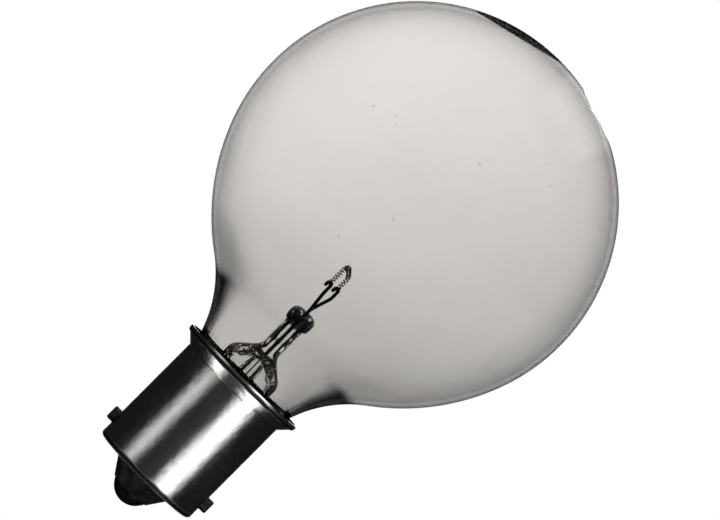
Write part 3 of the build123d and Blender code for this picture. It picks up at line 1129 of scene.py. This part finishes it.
@dataclass(frozen=True)
class FloorFinish(Finish):
    """Pale floor, white to the eye away from the lamp and shaded below it.

    Attributes:
        pale: The floor's colour.
        grain: The colour of its grains.
        rough: Its roughness.
    """

    pale: Colour = (0.9, 0.9, 0.9)
    grain: Colour = (0.873, 0.873, 0.873)
    rough: float = 0.9

    def shade(self, sheet: NodeSheet) -> Socket:
        """Mix the shaded floor with plain white by distance, with a shadow painted near the lamp in
        the white that reflections show.

        Args:
            sheet: The material's sheet.

        Returns:
            The shader's socket.
        """
        shade_end, shade_white = (0.05, 0.28), 0.35
        painted_shadow_end, painted_shadow_dark, inside = (0.06, 0.16), 0.05, 0.02
        grains = sheet.noise(sheet.place(), size=900.0, detail=3.0)
        colour = sheet.blend(grains, self.pale, self.grain)
        floor = sheet.surface(colour, self.rough, **{"Specular IOR Level": 0.0})
        far = sheet.vector("LENGTH", sheet.place(LEVEL))
        share = sheet.ramp(far, shade_end, shade_white, 1.0)
        share = sheet.mix(sheet.path("Glossy Depth"), share, 1.0)
        # Painted shadow: the white that reflections show darkens near the lamp.
        front = sheet.ramp(far, painted_shadow_end, painted_shadow_dark, 1.0)
        white = sheet.glow(back_light(sheet, front, inside))
        return sheet.layer(sheet.product(sheet.eye_ray(), share), floor, white)


@dataclass(frozen=True)
class CardFinish(Finish):
    """A studio card whose tone changes from place to place.

    Attributes:
        tones: Pairs of a place and the tone there.
        way: What the places are measured along.
    """

    tones: Tones
    way: Way = Way.ACROSS

    def shade(self, sheet: NodeSheet) -> Socket:
        """Blend the tones, which show in a first reflection only.

        Args:
            sheet: The material's sheet.

        Returns:
            The shader's socket.
        """
        where = sheet.axis("X")
        if self.way is Way.ROUND:
            front = sheet.product(sheet.axis("Y"), -1.0)
            where = sheet.product(sheet.sum("ARCTAN2", where, front), 180.0 / math.pi)
        tone: Source = self.tones[0][1]
        for (low, _), (high, end) in zip(self.tones, self.tones[1:]):
            tone = sheet.ramp(where, (low, high), tone, end)
        return sheet.glow(sheet.product(tone, sheet.fall(sheet.path("Glossy Depth"), ONCE)))


WALL_CARD = CardFinish(
    "card_wall",
    (
        (-175.0, 2.4), (-166.0, 0.008), (-70.0, 0.008), (-47.0, 0.85), (-23.0, 0.02),
        (11.0, 0.03), (39.0, 2.15), (47.0, 2.15), (72.0, 0.008), (166.0, 0.008), (175.0, 2.4),
    ),
    Way.ROUND,
)
BELOW_CARD = CardFinish(
    "card_below",
    (
        (-0.044, 0.004), (-0.031, 2.7), (-0.015, 0.02), (0.006, 0.03), (0.021, 3.5),
        (0.030, 3.5), (0.042, 0.004),
    ),
)
APRON_CARD = CardFinish("card_apron", WALL_CARD.tones, Way.ROUND)
ABOVE_CARD = CardFinish("card_above", ((0.0, 0.008),))
CROWN_CARD = CardFinish("card_crown", ((0.0, 2.6),))
CROWN_BACK = 0.45
CROWN_CORNERS = (
    (0.0067, 0.1007), (0.0328, 0.208), (0.0694, 0.2813), (0.0675, 0.1966), (0.0254, 0.0949),
)
SHELL_AND_PINS = ("cap_shell", "bayonet_pin_left", "bayonet_pin_right")
METAL_NODES = (
    *SHELL_AND_PINS, "insulator", "contact_plate", "contact_solder", "rim_solder",
    "inner_lead_near", "inner_lead_far", "filament",
)


def hang_card(
    finish: CardFinish, points: list[Point], faces: Faces, group: str = "", *lit: Thing
) -> None:
    """Hang a card that shows in reflections alone.

    Args:
        finish: Its finish, whose name it takes.
        points: Its corners.
        faces: The corners of each face.
        group: The name of the group of pieces that it shines on.
        *lit: Those pieces, or nothing if it shines on all.
    """
    card = make_piece(finish.name, points, faces, finish)
    for sight in ("camera", "diffuse", "transmission", "volume_scatter", "shadow"):
        setattr(card, f"visible_{sight}", False)
    if lit:
        receivers = bpy.data.collections.new(group)
        for piece in lit:
            receivers.objects.link(piece)
        card.light_linking.receiver_collection = receivers


@dataclass
class Studio:
    """The floor, cards, lights and camera.

    Attributes:
        floor: The floor's height.
        aim: The point at the middle of the picture.
        width: How much of the lamp's plane the picture's width takes in.
        lens: The camera's focal length in millimetres.
        sensor: The width of the camera's sensor in millimetres.
        roll: How far the lamp leans in the picture, in degrees.
        foot: The height of the cards' foot.
        top: The height of the cards' top.
    """

    floor: float = -65.0 * MM
    aim: Point = (0.0, 0.0, 0.035)
    width: float = 0.08927
    lens: float = 200.0
    sensor: float = 36.0
    roll: float = 45.0
    foot: float = -63.0 * MM
    top: float = 0.6

    def set_camera(self) -> None:
        """Place the camera square to the lamp and lean it."""
        data = bpy.data.cameras.new("camera")
        data.lens = self.lens
        data.sensor_width = self.sensor
        data.clip_start = 0.01
        data.clip_end = 50.0
        camera = bpy.data.objects.new("camera", data)
        lean = math.radians(self.roll)
        right = Vector((math.cos(lean), 0.0, math.sin(lean)))
        up = Vector((-math.sin(lean), 0.0, math.cos(lean)))
        back = right.cross(up)
        turn = Matrix((right, up, back)).transposed().to_4x4()
        far = self.width * self.lens / self.sensor
        camera.matrix_world = Matrix.Translation(Vector(self.aim) + far * back) @ turn
        bpy.context.scene.collection.objects.link(camera)
        bpy.context.scene.camera = camera

    def lay_floor(self) -> None:
        """Lay the pale floor below the lamp."""
        half = 4.0
        corners = ((-half, -half), (half, -half), (half, half), (-half, half))
        points = [(x, y, self.floor) for x, y in corners]
        floor = make_piece("floor", points, [(0, 1, 2, 3)], FloorFinish("floor"))

    def hang_wall(self) -> None:
        """Hang the card that stands all round the lamp."""
        far, steps = 0.5, 60
        points: list[Point] = []
        for step in range(steps + 1):
            angle = math.radians(360.0 * step / steps - 180.0)
            x, y = far * math.sin(angle), -far * math.cos(angle)
            points += [(x, y, self.foot), (x, y, self.top)]
        faces = [(2 * step, 2 * step + 2, 2 * step + 3, 2 * step + 1) for step in range(steps)]
        lit = [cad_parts[node] for node in METAL_NODES]
        hang_card(WALL_CARD, points, faces, "metal_pieces", *lit)

    def hang_disc(
        self, finish: CardFinish, height: float, reach: float, group: str = "", *lit: Thing
    ) -> None:
        """Hang a level round card, which shines on some pieces or on all."""
        ring = level_ring(height, (reach, reach), around=36)
        hang_card(finish, ring, [tuple(range(len(ring)))], group, *lit)

    def hang_cards(self) -> None:
        """Hang the cards that the metal and glass reflect."""
        wide, narrow = 0.52, 0.045
        shell, *pins = (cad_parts[node] for node in SHELL_AND_PINS)
        self.hang_wall()
        self.hang_disc(BELOW_CARD, self.foot + MM, narrow, "shell_alone", shell)
        self.hang_disc(APRON_CARD, self.foot, wide, "shell_and_pins", shell, *pins)
        self.hang_disc(ABOVE_CARD, self.top, wide)

    def light_room(self) -> None:
        """Fill the room with even light, white to the eye, with windows that the stem mirrors."""
        even, window, dark, first, far_wall = 0.7, 3.4, 0.004, 0.02, 0.36
        window_edge, white = (0.56, 0.6), (1.0, 1.0, 1.0)
        world = bpy.data.worlds.new("room")
        world.use_nodes = True
        world.node_tree.nodes.clear()
        sheet = NodeSheet(world.node_tree)
        around = sheet.add("ShaderNodeTexCoord").outputs["Generated"]
        clouds = sheet.noise(around, size=3.8, detail=1.0)
        windows = sheet.ramp(clouds, window_edge, dark, window)
        inside = sheet.ramp(sheet.path("Glossy Depth"), ONCE, first, windows)
        inside = sheet.ramp(sheet.path("Transmission Depth"), FOUR_TIMES, far_wall, inside)
        lights = [
            sheet.add("ShaderNodeBackground", {"Color": white, "Strength": strength}).outputs[0]
            for strength in (even, back_light(sheet, 1.0, inside))
        ]
        light = sheet.layer(sheet.eye_ray(), *lights)
        sheet.add("ShaderNodeOutputWorld", {"Surface": light})
        bpy.context.scene.world = world

    def hang_lamp(self) -> None:
        """Hang one soft lamp, which no mirror or glass shows."""
        data = bpy.data.lights.new("soft_lamp", "AREA")
        data.shape = "DISK"
        data.size = 0.5
        data.energy = 3.0
        lamp = bpy.data.objects.new("soft_lamp", data)
        lamp.location = (-0.35, -0.35, 0.8)
        way = Vector((0.0, 0.0, 0.03)) - lamp.location
        lamp.rotation_euler = way.to_track_quat("-Z", "Y").to_euler()
        for sight in ("glossy", "transmission", "camera"):
            setattr(lamp, f"visible_{sight}", False)
        bpy.context.scene.collection.objects.link(lamp)

    def light_edge(self, globe: Thing) -> None:
        """Hang a card whose light shows on the far edge of the globe's crown."""
        fan = [(x, CROWN_BACK, z) for x, z in CROWN_CORNERS]
        hang_card(CROWN_CARD, fan, [tuple(range(len(fan)))], "globe_alone", globe)

    def build(self) -> None:
        """Set up the whole studio."""
        self.set_camera()
        self.lay_floor()
        self.hang_cards()
        self.light_room()
        self.hang_lamp()
        bpy.context.scene.view_settings.view_transform = "Standard"
        LOG.info("set the studio")


def main() -> None:
    """Build the lamp and its studio."""
    logging.basicConfig(level=logging.INFO, format="%(name)s: %(message)s")
    studio = Studio()
    studio.build()
    globe = Envelope().build()
    studio.light_edge(globe)
    mount = FilamentMount()
    mount.build()
    mount.dress()
    BayonetCap().dress()


if __name__ == "__main__":
    main()
